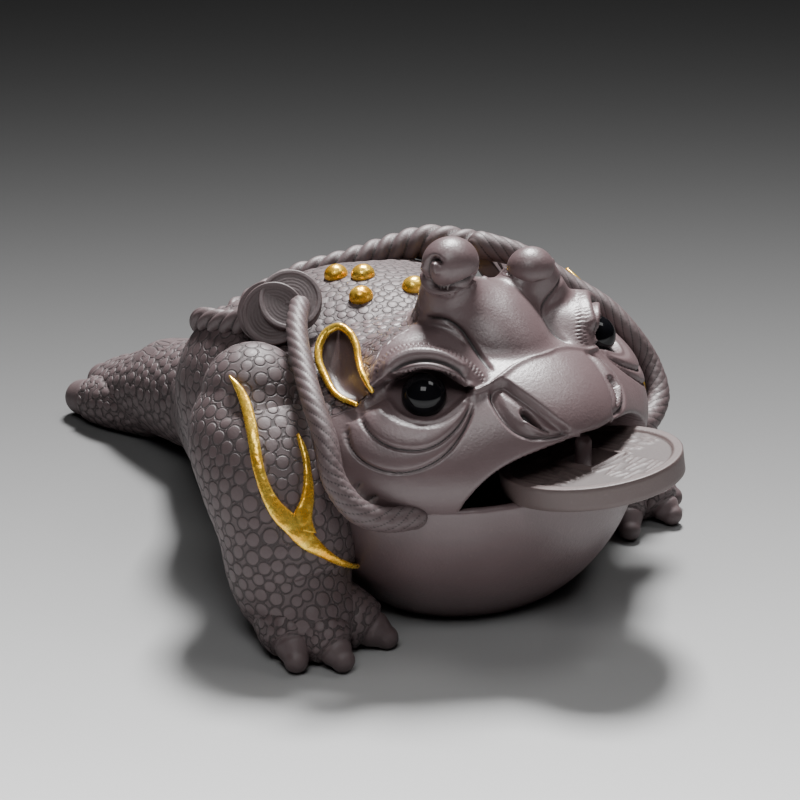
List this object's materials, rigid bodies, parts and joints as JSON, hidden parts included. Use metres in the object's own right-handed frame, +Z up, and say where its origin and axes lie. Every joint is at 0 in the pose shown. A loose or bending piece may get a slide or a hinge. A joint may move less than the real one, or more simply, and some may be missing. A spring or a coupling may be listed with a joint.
{
  "type": "money toad figure",
  "caption": "Round-bodied clay toad with a single hind leg, a rope of strung coins over its back and a loose pierced coin in its mouth.",
  "frame": {"origin": "middle of the flat underside of the belly, on the plane that the figure stands on", "axes": "+Z up, -Y the way the toad faces, +X towards its left side"},
  "size_m": [0.0768, 0.1241, 0.0505],
  "materials": {
    "clay": "unglazed, fine grained, softly polished",
    "gold": "metallic gold paint",
    "coin_clay": "unglazed, satin",
    "eye_glass": "polished black glass"
  },
  "bodies": {
    "root": {"toad": "clay", "coin": "coin_clay", "eye_right": "eye_glass", "eye_left": "eye_glass"}
  },
  "joints": []
}
